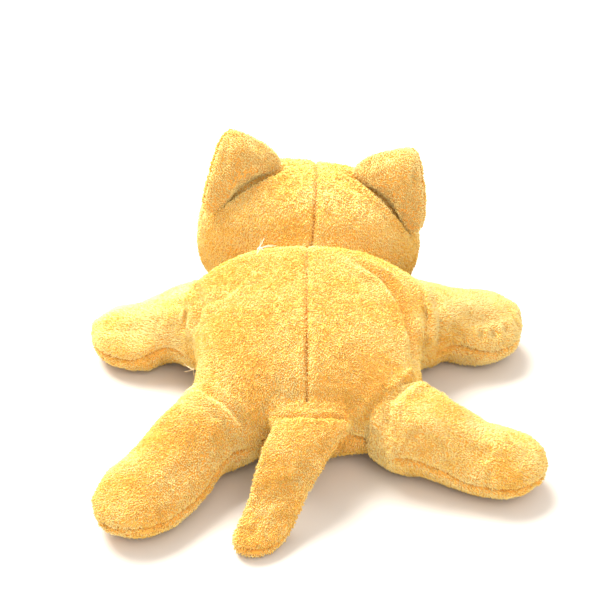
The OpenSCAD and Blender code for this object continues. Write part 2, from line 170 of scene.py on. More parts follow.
PILE_SHADES = [pile_material("pile_" + n, c) for n, c in (
    ("pale", "#ffe69a"), ("golden", "#ffdb7c"), ("amber", "#f8c456"))]
SHADE_STEPS = (-9.0, 0.42, 0.80)            # a tuft takes the last shade whose step it passes
print("made", [mat.name for mat in PILE_SHADES])

# %% [markdown]
# ## Curves shared with the CAD model
# Each body is a stack of rings. A ring is a rounded oval whose squareness can be set.
# Sculpting by hand could make the same bodies, but rings keep every seam on a clean line.

# %% Ring functions
def bulge(t, p):
    return np.maximum(0, 1 - np.minimum(1, np.abs(t)) ** p) ** (1 / p)


def smooth(t):
    c = np.clip(t, 0, 1)
    return c * c * (3 - 2 * c)


def up_to(a, b, t):
    return a + (b - a) * t


def ring(v, wide, mid, top, low, square=2.3):
    s, k = np.sin(v), np.cos(v)
    x = wide * np.sign(s) * np.abs(s) ** (2 / square)
    z = mid + np.where(k >= 0, top - mid, mid - low) * np.sign(k) * np.abs(k) ** (2 / square)
    return x, z


def turns(count):
    return 2 * np.pi * np.arange(count)[None, :] / count


def grid(x, y, z):
    x, y, z = np.broadcast_arrays(x, y, z)
    return np.stack([x, y, np.maximum(z, RING_FLOOR)], -1)


# %% Torso rings
def torso_rings(rows=60, cols=TORSO_TURN):
    t = np.sin(np.radians(np.linspace(-90, 90, rows)))[:, None]
    wide = TORSO_WIDE * np.where(t < 0, bulge(t, 2.35), bulge(t, 4.6))
    mid = up_to(34, 37, (t + 1) / 2)
    s = np.where(t < 0.2, (t - 0.2) / 1.2, (t - 0.2) / 0.8)
    top = mid + (TORSO_HIGH - mid) * np.where(t < 0.2, bulge(s, 2.1), bulge(s, 6.0))
    low = mid - (mid + 4) * np.where(t < 0, bulge(t, 5), bulge(t, 2.6))
    x, z = ring(turns(cols), wide, mid, top, low, 2.3 + 0.4 * smooth((t - 0.3) / 0.6))
    return grid(x, TORSO_HALF * t, z)


# %% Head rings
HEAD_BACK_ROWS = 24                         # rings from the nape to the crown's seam


def lean(p):
    d = p - NECK
    c, s = math.cos(HEAD_ROLL), math.sin(HEAD_ROLL)
    q = np.stack([d[..., 0] * c + d[..., 2] * s, d[..., 1], -d[..., 0] * s + d[..., 2] * c], -1) + NECK
    q[..., 2] = np.maximum(q[..., 2], RING_FLOOR)
    return q


def head_upright(t, v):
    mid = HEAD_MID[2] - 3
    wide = HEAD_WIDE * bulge(t, 2.4)
    dome = bulge(t, 2.3)
    x, z = ring(v, wide, mid, mid + (HEAD_HIGH - mid) * dome, mid - (mid + 2) * dome, 2.4)
    x, y, z = np.broadcast_arrays(x, HEAD_MID[1] + HEAD_DEEP * t, z)
    return np.stack([x, y, z], -1)


def head_rings(back=HEAD_BACK_ROWS, front=32, cols=TORSO_TURN):
    a = math.degrees(math.asin(HEAD_SEAM))
    rows = np.concatenate([np.linspace(-90, a, back), np.linspace(a, 90, front)[1:]])[:, None]
    v = turns(cols)
    crown = 1 - smooth(np.degrees(np.minimum(v, 2 * np.pi - v)) / 42)
    angles = rows + 36 * crown * np.exp(-((rows - a) / 45) ** 2) * np.cos(np.radians(rows))
    return lean(head_upright(np.sin(np.radians(angles)), v))


# %% [markdown]
# ## Limbs
# A limb's tube starts inside the torso, draws in a little where it is sewn on, and swells
# to its paw. Its first part becomes the sewn-on root, and the rest the limb's body.

# %% Limb and tail rings
def limb_rings(limb, rows=46, cols=LIMB_TURN):
    j, root, length = np.array(limb["joint"], float), limb["root"], limb["length"]
    a = math.radians(limb["heading"])
    stations = np.concatenate([np.linspace(-26, -2, 12),
                               length * np.sin(np.radians(np.linspace(0, 90, rows - 12)))])
    s = (stations / length)[:, None]
    x = stations[:, None]
    grow = smooth((s + 0.02) / 0.45)
    blunt = 0.5 if limb["length"] < 55 else 0.44
    end = bulge(np.maximum(0, s - blunt) / (1 - blunt), 2.5)
    flare = bulge(np.maximum(0, -x - 8) / 18.5, 2)
    wide = up_to(root * ROOT_WIDE, limb["half"], grow) * end * flare
    high = up_to(root, limb["thick"] / 2, smooth(s / 0.5)) * end * flare
    mid = up_to(up_to(j[2], limb["thick"] / 2 - 1.5, smooth(s / 0.55)), limb["thick"] * 0.5, 1 - end)
    side, z = ring(turns(cols), wide, mid, mid + high, mid - high, 2.15)
    return grid(j[0] + x * math.cos(a) + side * math.sin(a),
                j[1] + x * math.sin(a) - side * math.cos(a), z), stations


def tail_rings(rows=48, cols=TAIL_TURN):
    stations = np.concatenate([np.linspace(-14, -1, 9),
                               TAIL_REACH * np.sin(np.radians(np.linspace(0, 90, rows - 9)))])
    x = stations[:, None]
    s = x / TAIL_REACH
    end = bulge(np.maximum(0, s - 0.8) / 0.2, 2.2)
    wide = up_to(TAIL_HALF, 13.5, smooth(s * 1.1)) * end * np.where(x <= -13.9, 0.02, 1.0)
    high = TAIL_R * end * np.where(x <= -13.9, 0.02, 1.0) * (1 + 0.12 * smooth(-x / 12))
    mid = up_to(TAIL[2], TAIL_R * 0.9, smooth(s * 1.02))
    side, z = ring(-turns(cols), wide, mid, mid + high, mid - high, 2.2)
    return grid(TAIL[0] + side - np.maximum(0, x) * math.tan(TAIL_YAW), TAIL[1] - x, z), stations


# %% [markdown]
# ## From rings to a closed skin
# A tube of quads keeps every seam on an edge loop, so panels part cleanly along it later.
# The first and last rings shrink to one point each, which closes the skin.

# %% Skin builder
def link(name, mesh):
    obj = bpy.data.objects.new(name, mesh)
    bpy.context.scene.collection.objects.link(obj)
    return obj


def skin_from_rings(name, rings, panel_of, closed=True):
    rows, cols = rings.shape[:2]
    if closed:
        points = np.vstack([rings[0].mean(0), rings[1:-1].reshape(-1, 3), rings[-1].mean(0)])
        last = len(points) - 1
        at = lambda i, j: 0 if i == 0 else last if i == rows - 1 else 1 + (i - 1) * cols + j % cols
    else:
        points = rings.reshape(-1, 3)
        at = lambda i, j: i * cols + j % cols
    cells = [(i, j) for i in range(rows - 1) for j in range(cols)]
    faces = [list(dict.fromkeys((at(i, j), at(i + 1, j), at(i + 1, j + 1), at(i, j + 1))))
             for i, j in cells]
    centre = points.mean(0)
    out = sum(np.dot(np.cross(points[f[1]] - points[f[0]], points[f[2]] - points[f[0]]),
                     points[f[0]] - centre) for f in faces)
    if out < 0:
        faces = [f[::-1] for f in faces]
    mesh = bpy.data.meshes.new(name)
    mesh.from_pydata(points * MM, [], faces)
    panel = mesh.attributes.new("panel", "INT", "FACE")
    panel.data.foreach_set("value", [panel_of(i, j) for i, j in cells])
    return link(name, mesh)


def read_points(mesh):
    co = np.zeros(len(mesh.vertices) * 3, np.float32)
    mesh.vertices.foreach_get("co", co)
    return co.reshape(-1, 3).astype(float) / MM


def write_points(mesh, points):
    mesh.vertices.foreach_set("co", (points * MM).astype(np.float32).ravel())
    mesh.update()


def read_normals(mesh):
    no = np.zeros(len(mesh.vertices) * 3, np.float32)
    mesh.vertices.foreach_get("normal", no)
    return no.reshape(-1, 3).astype(float)


def seam_edges(mesh, between=None):
    """Pairs of points on an edge where two panels meet."""
    panel = [p.value for p in mesh.attributes["panel"].data]
    owner, found = {}, []
    for poly in mesh.polygons:
        for key in poly.edge_keys:
            if key in owner and panel[owner[key]] != panel[poly.index]:
                if between is None or {panel[owner[key]], panel[poly.index]} == between:
                    found.append(key)
            owner[key] = poly.index
    return found


# %% [markdown]
# ## Stuffing the skins
# Cloth with a little pressure swells each skin as fibre does. The seams are drawn in by
# their thread, so they shrink while the fabric between them keeps some slack. No point may
# move further than a cap, which keeps the toy's sizes. Moving points by a formula could
# swell it too, but the simulation lets each seam pull on the fabric beside it.

# %% Stuffing by cloth simulation
def stuff(obj, pressure=3.0, draw_in=0.08, slack=0.03, cap=3.0, frames=14):
    mesh = obj.data
    rest = read_points(mesh)
    seams = sorted({v for e in seam_edges(mesh) for v in e})
    obj.vertex_groups.new(name="seam").add(seams, 1.0, "REPLACE")
    cloth = obj.modifiers.new("stuffing", "CLOTH")
    s = cloth.settings
    s.quality, s.mass = 4, 0.25
    s.tension_stiffness = s.compression_stiffness = 18
    s.shear_stiffness, s.bending_stiffness = 8, 0.4
    s.use_pressure, s.uniform_pressure_force = True, pressure
    s.effector_weights.gravity = 0
    s.vertex_group_shrink = "seam"
    s.shrink_min, s.shrink_max = -slack, draw_in
    cloth.collision_settings.use_collision = False
    cloth.point_cache.frame_start, cloth.point_cache.frame_end = 1, frames
    for f in range(1, frames + 1):
        bpy.context.scene.frame_set(f)
    swollen = obj.evaluated_get(bpy.context.evaluated_depsgraph_get()).to_mesh()
    moved = read_points(swollen) - rest
    far = np.linalg.norm(moved, axis=1, keepdims=True)
    obj.modifiers.remove(cloth)
    write_points(mesh, rest + moved * np.minimum(1, cap / np.maximum(far, 1e-6)))
    print(obj.name, "stuffed, moved up to", round(float(far.max()), 2), "mm")


def subdivide(obj, levels=1):
    sub = obj.modifiers.new("smooth", "SUBSURF")
    sub.levels = sub.render_levels = levels
    mesh = bpy.data.meshes.new_from_object(obj.evaluated_get(bpy.context.evaluated_depsgraph_get()))
    obj.modifiers.clear()
    obj.data = mesh
    return obj


# %% [markdown]
# ## Seams, folds and lumps
# A sewn seam pulls the fabric into a narrow groove, and the fabric puffs up beside it.
# Folds are lines where slack fabric bends in. Lumps are the fibre's own unevenness.
# Simulated wrinkles would fall anywhere, so each fold is a path that says where it runs.

# %% Seams, folds and lumps
from mathutils import kdtree, noise


def distances(points, targets):
    tree = kdtree.KDTree(len(targets))
    for i, p in enumerate(targets):
        tree.insert(p, i)
    tree.balance()
    return np.array([tree.find(p)[2] for p in points])


def fold(points, path, depth, width):
    """Push in mm at each point, for a fold that runs along a path and fades at its ends."""
    path = np.array(path, float)
    steps = np.linalg.norm(np.diff(path, axis=0), axis=1)
    best, along = np.full(len(points), 1e9), np.zeros(len(points))
    for k, (a, b) in enumerate(zip(path, path[1:])):
        t = np.clip((points - a) @ (b - a) / np.dot(b - a, b - a), 0, 1)
        d = np.linalg.norm((points - a - t[:, None] * (b - a)) * (1, 1, 0.6), axis=1)
        along = np.where(d < best, (steps[:k].sum() + t * steps[k]) / steps.sum(), along)
        best = np.minimum(best, d)
    fade = np.clip(1.1 - np.abs(2 * along - 1) ** 4, 0, 1)
    return fade * depth * (0.4 * np.exp(-((best - 2.2 * width) / width) ** 2) - np.exp(-(best / width) ** 2))


def sculpt(obj, folds=(), groove=1.4, groove_width=1.3, lump=0.5, pucker=0.5, floor=1.2,
           between=None):
    mesh = obj.data
    points, normals = read_points(mesh), read_normals(mesh)
    seams = sorted({v for e in seam_edges(mesh, between) for v in e})
    near = distances(points, points[seams]) if seams else np.full(len(points), 99.0)
    push = -groove * np.exp(-(near / groove_width) ** 2) + 0.4 * groove * np.exp(-((near - 3.5) / 2.2) ** 2)
    for f in folds:
        push += fold(points, *f)
    for i, p in enumerate(points):
        v = Vector(p)
        push[i] += lump * (noise.noise(v / 17) + 0.5 * noise.noise(v / 8))
        if near[i] < 9:
            push[i] += pucker * noise.noise(v / 3.1) * math.exp(-((near[i] - 2.5) / 3) ** 2)
    points += normals * push[:, None]
    points[:, 2] = np.maximum(points[:, 2], floor)
    write_points(mesh, points)
    return near


# %% [markdown]
# ## Melding neighbours
# Where two stuffed parts are sewn together their fabric runs from one to the other in a
# soft hollow. Each skin is pushed out a little near the other, so that they meet at a
# shallow angle, like the sides of a fillet. A Boolean union would fuse the two and lose
# their joint, so each skin stays a piece of its own.

# %% Melding
def skin_tree(obj):
    points, normals = read_points(obj.data), read_normals(obj.data)
    tree = kdtree.KDTree(len(points))
    for i, p in enumerate(points):
        tree.insert(p, i)
    tree.balance()
    return tree, points, normals


def gap_to(skin, spot):
    """Signed distance to a skin, and the skin's outward direction there."""
    tree, points, normals = skin
    i = tree.find(spot)[1]
    return float(np.dot(spot - points[i], normals[i])), normals[i]


def even_out(values, edges, rounds):
    """Average a value at each point with its neighbours' over the edges."""
    a, b = np.array([tuple(e) for e in edges]).T
    count = np.bincount(np.concatenate([a, b]), minlength=len(values))[:, None]
    for _ in range(rounds):
        total = np.zeros_like(values)
        np.add.at(total, a, values[b])
        np.add.at(total, b, values[a])
        values = 0.5 * values + 0.5 * total / np.maximum(count, 1)
    return values


def meld(first, second, reach, sink=6.0):
    """Move both skins on to one rounded union of the two, reach mm across."""
    skins = [skin_tree(first), skin_tree(second)]
    for obj, own, other in ((first, skins[0], skins[1]), (second, skins[1], skins[0])):
        points = own[1].copy()
        low, high = other[1].min(0) - reach, other[1].max(0) + reach
        for i in np.nonzero(((points > low) & (points < high)).all(1))[0]:
            if other[0].find(points[i])[2] > reach + sink:
                continue
            spot = points[i].copy()
            hidden = np.clip(1 + gap_to(other, spot)[0] / sink, 0, 1)
            if hidden == 0:
                continue
            for _ in range(3):
                (a, along), (b, across) = gap_to(own, spot), gap_to(other, spot)
                h = max(reach - abs(a - b), 0) / reach
                if a > b:
                    along, across = across, along
                way = along * (1 - h / 2) + across * (h / 2)
                way /= max(0.3, np.linalg.norm(way))
                spot -= way * (min(a, b) - h * h * reach / 4)
            points[i] += (spot - points[i]) * hidden
        moved = even_out(points - own[1], [e.vertices for e in obj.data.edges], 5)
        points = own[1] + moved
        points[:, 2] = np.maximum(points[:, 2], MELD_FLOOR)
        write_points(obj.data, points)


# %% [markdown]
# ## Cutting the skin into its panels
# Each panel becomes a piece of its own with a real thickness. The shading normals are taken
# from the whole skin, so that the cut shows only as the groove that the thread makes.

# %% Panels with thickness
THICK = 1.0


def cut_panel(obj, name, panels, near):
    mesh = obj.data
    points, normals = read_points(mesh), read_normals(mesh)
    which = [p.value for p in mesh.attributes["panel"].data]
    faces = [tuple(p.vertices) for p in mesh.polygons if which[p.index] in panels]
    used = sorted({v for f in faces for v in f})
    new = {v: i for i, v in enumerate(used)}
    outer = [[new[v] for v in f] for f in faces]
    n = len(used)
    edges = {}
    for f in outer:
        for a, b in zip(f, f[1:] + f[:1]):
            edges[(a, b)] = True
    rim = [[b, a, a + n, b + n] for a, b in edges if (b, a) not in edges]
    inner = [[v + n for v in f[::-1]] for f in outer]
    top, inward = points[used], normals[used].copy()
    inward = even_out(inward, list(edges), 6)
    inward /= np.maximum(np.linalg.norm(inward, axis=1, keepdims=True), 1e-6)
    panel_mesh = bpy.data.meshes.new(name)
    panel_mesh.from_pydata(np.vstack([top, top - inward * THICK]) * MM, [], outer + inner + rim)
    panel_mesh.polygons.foreach_set("use_smooth", [True] * len(panel_mesh.polygons))
    out = panel_mesh.attributes.new("outside", "BOOLEAN", "FACE")
    out.data.foreach_set("value", [True] * len(outer) + [False] * (len(inner) + len(rim)))
    # The pile value fades out at the seams; the backing also paints its seam shade from it.
    pile = panel_mesh.attributes.new("pile", "FLOAT", "POINT")
    grown = np.clip((near[used] - 0.2) / 1.2, 0, 1)
    pile.data.foreach_set("value", np.concatenate([grown, np.zeros(n)]))
    loops = []
    for f in outer:
        loops += [tuple(normals[used[v]]) for v in f]
    loops += [(0, 0, 0)] * (len(panel_mesh.loops) - len(loops))
    panel_mesh.normals_split_custom_set(loops)
    panel_mesh.materials.append(backing)
    return link(name, panel_mesh)


# %% [markdown]
# ## Pile
# Geometry Nodes scatter tufts over a panel's outside, lean them along the nap, and turn
# them into plain faces. A tuft is a slim closed spike of four faces, because there are
# hundreds of thousands. Hair particles could grow it too, but the tufts are plain geometry,
# and density, length, width, lean, shade and seed are the tree's own inputs.

# %% Pile tree
def pile_tree():
    tree = bpy.data.node_groups.new("short_pile", "GeometryNodeTree")
    face = tree.interface
    face.new_socket("Geometry", in_out="INPUT", socket_type="NodeSocketGeometry")
    for label, kind, value in (
            ("Density", "Float", 2e6), ("Length", "Float", 0.0024), ("Width", "Float", 0.0008),
            ("Nap", "Vector", (0, -1, 0)), ("Spread", "Float", 0.5), ("Clumps", "Float", 260.0),
            ("Parting", "Float", 1.5), ("Shade", "Float", -1.1), ("Seed", "Int", 1)):
        face.new_socket(label, in_out="INPUT", socket_type="NodeSocket" + kind).default_value = value
    face.new_socket("Geometry", in_out="OUTPUT", socket_type="NodeSocketGeometry")
    group = tree.nodes.new("NodeGroupInput").outputs
    outside = add(tree, "GeometryNodeInputNamedAttribute", {"Name": "outside"}, data_type="BOOLEAN")
    thick = add(tree, "GeometryNodeInputNamedAttribute", {"Name": "pile"}, data_type="FLOAT")
    density = add(tree, "ShaderNodeMath", {0: group["Density"], 1: thick.outputs[0]}, operation="MULTIPLY")
    scatter = add(tree, "GeometryNodeDistributePointsOnFaces", {
        "Mesh": group["Geometry"], "Selection": outside.outputs[0], "Density": density.outputs[0],
        "Seed": group["Seed"]})
    where = add(tree, "GeometryNodeInputPosition")
    brushed = add(tree, "ShaderNodeTexNoise", {"Vector": where.outputs[0], "Scale": 45.0, "Detail": 2.0})
    patch = add(tree, "ShaderNodeMath", {0: brushed.outputs[0], 1: 2.2, 2: group["Shade"]},
                operation="MULTIPLY_ADD")
    chance = add(tree, "FunctionNodeRandomValue", {2: 0.0, 3: 1.0, "Seed": group["Seed"]}, data_type="FLOAT")
    shading = add(tree, "ShaderNodeMath", {0: patch.outputs[0], 1: chance.outputs[1]}, operation="ADD")
    dyed = add(tree, "GeometryNodeStoreNamedAttribute", {
        "Geometry": scatter.outputs[0], "Name": "shade", "Value": shading.outputs[0]},
        data_type="FLOAT", domain="POINT")
    wild = add(tree, "FunctionNodeRandomValue", {0: (-1, -1, -1), 1: (1, 1, 1), "Seed": group["Seed"]},
               data_type="FLOAT_VECTOR")
    stray = add(tree, "ShaderNodeVectorMath", {0: wild.outputs[0], "Scale": group["Spread"]},
                operation="SCALE")
    lean_to = add(tree, "ShaderNodeVectorMath", {0: scatter.outputs["Normal"], 1: group["Nap"]},
                  operation="ADD")
    swirl = add(tree, "ShaderNodeTexNoise", {
        "Vector": where.outputs[0], "Scale": group["Clumps"], "Detail": 1.0})
    centred = add(tree, "ShaderNodeVectorMath", {0: swirl.outputs["Color"], 1: (0.5, 0.5, 0.5)},
                  operation="SUBTRACT")
    parted = add(tree, "ShaderNodeVectorMath", {0: centred.outputs[0], "Scale": group["Parting"]},
                 operation="SCALE")
    combed = add(tree, "ShaderNodeVectorMath", {0: lean_to.outputs[0], 1: parted.outputs[0]},
                 operation="ADD")
    aim = add(tree, "ShaderNodeVectorMath", {0: combed.outputs[0], 1: stray.outputs[0]}, operation="ADD")
    turn = add(tree, "FunctionNodeAlignRotationToVector", {"Vector": aim.outputs[0]}, axis="Z")
    size = add(tree, "FunctionNodeRandomValue", {2: 0.7, 3: 1.2, "Seed": group["Seed"]}, data_type="FLOAT")
    cone = add(tree, "GeometryNodeMeshCone", {
        "Vertices": 3, "Radius Top": 0.0, "Radius Bottom": group["Width"], "Depth": group["Length"]})
    soft = add(tree, "GeometryNodeSetShadeSmooth", {"Geometry": cone.outputs["Mesh"]})
    place = add(tree, "GeometryNodeInstanceOnPoints", {
        "Points": dyed.outputs[0], "Instance": soft.outputs[0], "Rotation": turn.outputs[0],
        "Scale": size.outputs[1]})
    last = add(tree, "GeometryNodeRealizeInstances", {0: place.outputs[0]})
    shade = add(tree, "GeometryNodeInputNamedAttribute", {"Name": "shade"}, data_type="FLOAT")
    for mat, above in zip(PILE_SHADES, SHADE_STEPS):
        chosen = add(tree, "FunctionNodeCompare", {0: shade.outputs[0], 1: above}, operation="GREATER_THAN")
        last = add(tree, "GeometryNodeSetMaterial", {
            "Geometry": last.outputs[0], "Selection": chosen.outputs[0], "Material": mat})
    out = tree.nodes.new("NodeGroupOutput")
    tree.links.new(last.outputs[0], out.inputs[0])
    return tree


PILE = pile_tree()
print("pile tree has", len(PILE.nodes), "nodes")


# %% Growing pile
def grow_pile(panel, name, nap=(0, -0.8, -0.3), density=2.2, length=1.5, width=0.45, spread=0.4,
              shade=-1.1, seed=1):
    """Density is tufts in a square millimetre, sizes are in mm, and a lower shade is paler."""
    mod = panel.modifiers.new("pile", "NODES")
    mod.node_group = PILE
    ids = {s.name: s.identifier for s in PILE.interface.items_tree if s.in_out == "INPUT"}
    for label, value in (("Density", density * 1e6), ("Length", length * MM), ("Width", width * MM),
                         ("Nap", nap), ("Spread", spread), ("Shade", shade), ("Seed", seed)):
        mod[ids[label]] = value
    mesh = bpy.data.meshes.new_from_object(panel.evaluated_get(bpy.context.evaluated_depsgraph_get()))
    mesh.name = name
    panel.modifiers.remove(mod)
    return link(name, mesh)


# %% [markdown]
# ## Fastening a piece to the frame
# A skin stands for its CAD panel. Its pile goes with it. A piece that crosses a joint is
# left fixed where it was made, and any other piece rides on one body.

# %% Fastening
made = []
seeds = iter(range(11, 400, 7))


def fasten(piece, body):
    if isinstance(body, str):
        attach(piece, body)
    else:
        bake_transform(piece)
    made.append(piece.name)


def dress(whole, near, name, panels, body, stands_for=(), fill=0.75, nap=(0, -0.8, -0.3),
          bare=(), **pile):
    """Cut one panel, grow its pile, and fasten both."""
    skin = cut_panel(whole, name, panels, near)
    if len(bare):
        mask_pile(skin, bare)
    fluff = grow_pile(skin, name + "_pile", nap=nap, seed=next(seeds), **pile)
    for piece in (skin, fluff):
        fasten(piece, body)
    if stands_for:
        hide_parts(*stands_for)


def mask_pile(skin, bare):
    """No tufts within r mm of each (point, r)."""
    points = read_points(skin.data)
    value = np.array([d.value for d in skin.data.attributes["pile"].data])
    for spot, r in bare:
        d = np.linalg.norm(points - np.array(spot), axis=1)
        value *= np.clip((d - r) / 1.2, 0, 1)
    skin.data.attributes["pile"].data.foreach_set("value", value)


# %% [markdown]
# ## Seam thread
# A row of short stitches sinks into each seam's groove. Geometry Nodes follow the seam's
# edges, step along them and lay one small bead of thread at every step.

# %% Seam thread
def thread_material():
    mat, _, shader = new_material("seam_thread")
    shader.inputs["Base Color"].default_value = colour("#a3641c")
    shader.inputs["Roughness"].default_value = 0.7
    shader.inputs["Sheen Weight"].default_value = 0.2
    return mat


def stitch_tree(thread):
    tree = bpy.data.node_groups.new("seam_stitches", "GeometryNodeTree")
    face = tree.interface
    face.new_socket("Geometry", in_out="INPUT", socket_type="NodeSocketGeometry")
    for label, value in (("Pitch", 0.0024), ("Thickness", 0.0008), ("Reach", 0.0022)):
        face.new_socket(label, in_out="INPUT", socket_type="NodeSocketFloat").default_value = value
    face.new_socket("Geometry", in_out="OUTPUT", socket_type="NodeSocketGeometry")
    group = tree.nodes.new("NodeGroupInput").outputs
    line = add(tree, "GeometryNodeMeshToCurve", {0: group["Geometry"]})
    steps = add(tree, "GeometryNodeResampleCurve", {
        "Curve": line.outputs[0], "Length": group["Pitch"]}, mode="LENGTH")
    along = add(tree, "GeometryNodeInputTangent")
    turn = add(tree, "FunctionNodeAlignRotationToVector", {"Vector": along.outputs[0]}, axis="Z")
    size = add(tree, "ShaderNodeCombineXYZ", {
        0: group["Thickness"], 1: group["Thickness"], 2: group["Reach"]})
    bead = add(tree, "GeometryNodeMeshUVSphere", {"Segments": 6, "Rings": 4, "Radius": 0.5})
    soft = add(tree, "GeometryNodeSetShadeSmooth", {"Geometry": bead.outputs["Mesh"]})
    place = add(tree, "GeometryNodeInstanceOnPoints", {
        "Points": steps.outputs[0], "Instance": soft.outputs[0], "Rotation": turn.outputs[0],
        "Scale": size.outputs[0]})
    real = add(tree, "GeometryNodeRealizeInstances", {0: place.outputs[0]})
    dyed = add(tree, "GeometryNodeSetMaterial", {"Geometry": real.outputs[0], "Material": thread})
    out = tree.nodes.new("NodeGroupOutput")
    tree.links.new(dyed.outputs[0], out.inputs[0])
    return tree


STITCHES = stitch_tree(thread_material())


def sew(whole, name, body, between=None, sink=0.2):
    """Stitch along every edge where two panels meet, or only where the named two do."""
    mesh = whole.data
    points, normals = read_points(mesh), read_normals(mesh)
    edges = seam_edges(mesh, between)
    used = sorted({v for e in edges for v in e})
    new = {v: i for i, v in enumerate(used)}
    line = bpy.data.meshes.new(name)
    line.from_pydata((points - normals * sink)[used] * MM, [(new[a], new[b]) for a, b in edges], [])
    guide = link(name + "_line", line)
    mod = guide.modifiers.new("stitches", "NODES")
    mod.node_group = STITCHES
    thread = bpy.data.meshes.new_from_object(guide.evaluated_get(bpy.context.evaluated_depsgraph_get()))
    bpy.data.objects.remove(guide)
    piece = link(name, thread)
    fasten(piece, body)


# %% [markdown]
# ## The stuffed bodies
# Every body is made whole before any is cut, because neighbours shape each other.
# The torso's back panels meet at the centre seam, and the belly joins them low on the
# flanks. The head's centre seam carries on from the back's, and a seam over the crown
# parts its back from its face.

# %% Torso and head shapes
SIDE = 30                                   # ring steps from the back seam to a side seam


def torso_panel(i, j):
    return 0 if j < SIDE else 1 if j < TORSO_TURN - SIDE else 2


def head_panel(i, j):
    side = 0 if j < TORSO_TURN // 2 else 1
    return side if i < HEAD_BACK_ROWS - 1 else 2 + side


torso = skin_from_rings("torso", torso_rings(), torso_panel)
head = skin_from_rings("head", head_rings(), head_panel)
for whole in (torso, head):
    stuff(whole, cap=2.5)
    subdivide(whole)

# %% [markdown]
# An ear is two rounded triangles round thin wadding. Its base is tucked into the crown's
# seam.

# %% Ear shapes
EAR_ROWS = 13                               # rings from an ear's back to its rim


def turn_about(axis, degrees):
    a = math.radians(degrees)
    c, s = math.cos(a), math.sin(a)
    return np.array({"x": [[1, 0, 0], [0, c, -s], [0, s, c]],
                     "y": [[c, 0, s], [0, 1, 0], [-s, 0, c]],
                     "z": [[c, -s, 0], [s, c, 0], [0, 0, 1]]}[axis])


def ear_frame(side):
    near = [lean(head_upright(np.array([[HEAD_SEAM]]), np.radians([[side * (38 + d)]])))[0, 0]
            for d in (-1, 0, 1)]
    slope = near[2] - near[0]
    out = np.array([-slope[2], 0, slope[0]]) * side
    out /= np.linalg.norm(out)
    angle = math.degrees(math.atan2(out[0], out[2]))
    return near[1] + out * 1.2, turn_about("y", angle) @ turn_about("z", -side * 32) @ turn_about("x", 10)


def ear_rings(side, rows=EAR_ROWS, cols=56):
    f = turns(cols)
    s = (1 + np.sin(f)) / 2
    x = EAR_WIDE * np.sign(np.cos(f)) * np.abs(np.cos(f)) ** 0.8 * (1 - 0.55 * np.sin(f))
    z = EAR_HIGH * s ** 1.4 - x * x / 130 * (1 - s ** 1.5)
    x = x - side * EAR_SHEAR * s ** 1.5
    core = np.array([-side * EAR_SHEAR * 0.3, EAR_HIGH * 0.34])
    a = np.radians(np.concatenate([np.linspace(0, 90, rows), np.linspace(90, 180, rows)[1:]]))[:, None]
    r = np.sin(a)
    depth = np.where(a <= np.pi / 2, -1.5, 1) * EAR_THICK / 2 * bulge(r, 2.2)
    local = np.stack(np.broadcast_arrays(core[0] + (x - core[0]) * r, depth,
                                         core[1] + (z - core[1]) * r), -1)
    local[..., 1] += 7 * np.clip(local[..., 2] / EAR_HIGH, 0, 1) ** 2
    local[..., 2] -= 2.5 + 1.5 * np.clip(1 - local[..., 2] / 6, 0, 1)
    place, frame_turn = ear_frame(side)
    return local @ frame_turn.T + place, place, frame_turn


ears = {}
for side, word in ((-1, "left"), (1, "right")):
    rings, place, frame_turn = ear_rings(side)
    whole = skin_from_rings("ear_" + word, rings, lambda i, j: 0 if i < EAR_ROWS - 1 else 1)
    stuff(whole, cap=1.5, draw_in=0.10)
    ears[word] = (subdivide(whole), place, frame_turn @ np.array([0, 0, 1.0]))

# %% [markdown]
# A limb has a sewn-on root, a top and an underside, and the tail is a flat stuffed strip
# with a seam along both edges.

# %% Limb and tail shapes
LIMB_SEAM, TAIL_SEAM = 15, 11               # ring steps from the top line to a seam
LIMB_SPLIT, TAIL_SPLIT = -11, -3            # station where the sewn-on root ends
limbs = {}
for name, limb in LIMBS.items():
    rings, stations = limb_rings(limb)
    split = int(np.argmin(np.abs(stations - LIMB_SPLIT)))
    whole = skin_from_rings(name, rings, lambda i, j: 2 if i < split else (
        0 if j < LIMB_SEAM or j >= LIMB_TURN - LIMB_SEAM else 1))
    stuff(whole, cap=2.0, draw_in=0.06)
    limbs[name] = (subdivide(whole), stations[split])

rings, stations = tail_rings()
split = int(np.argmin(np.abs(stations - TAIL_SPLIT)))
tail = skin_from_rings("tail", rings, lambda i, j: 2 if i < split else (
    0 if j < TAIL_SEAM or j >= TAIL_TURN - TAIL_SEAM else 1))
stuff(tail, cap=1.5)
subdivide(tail)

# %% Meld the bodies
ARM_MELD, LEG_MELD, HEAD_MELD, TAIL_MELD = 30, 26, 13, 7      # mm across each soft hollow
for name, (whole, _) in limbs.items():
    meld(torso, whole, LEG_MELD if name.startswith("leg") else ARM_MELD)
meld(torso, head, HEAD_MELD)
meld(torso, tail, TAIL_MELD)
print("melded the limbs, head and tail to the torso")

# %% [markdown]
# ## Dressing the torso
# The folds run from the shoulders down the flanks, round each hip, and to either side of
# the tail, where the fabric has more slack than the stuffing fills. Each is a path of points
# on the skin in millimetres, then its depth and its width.

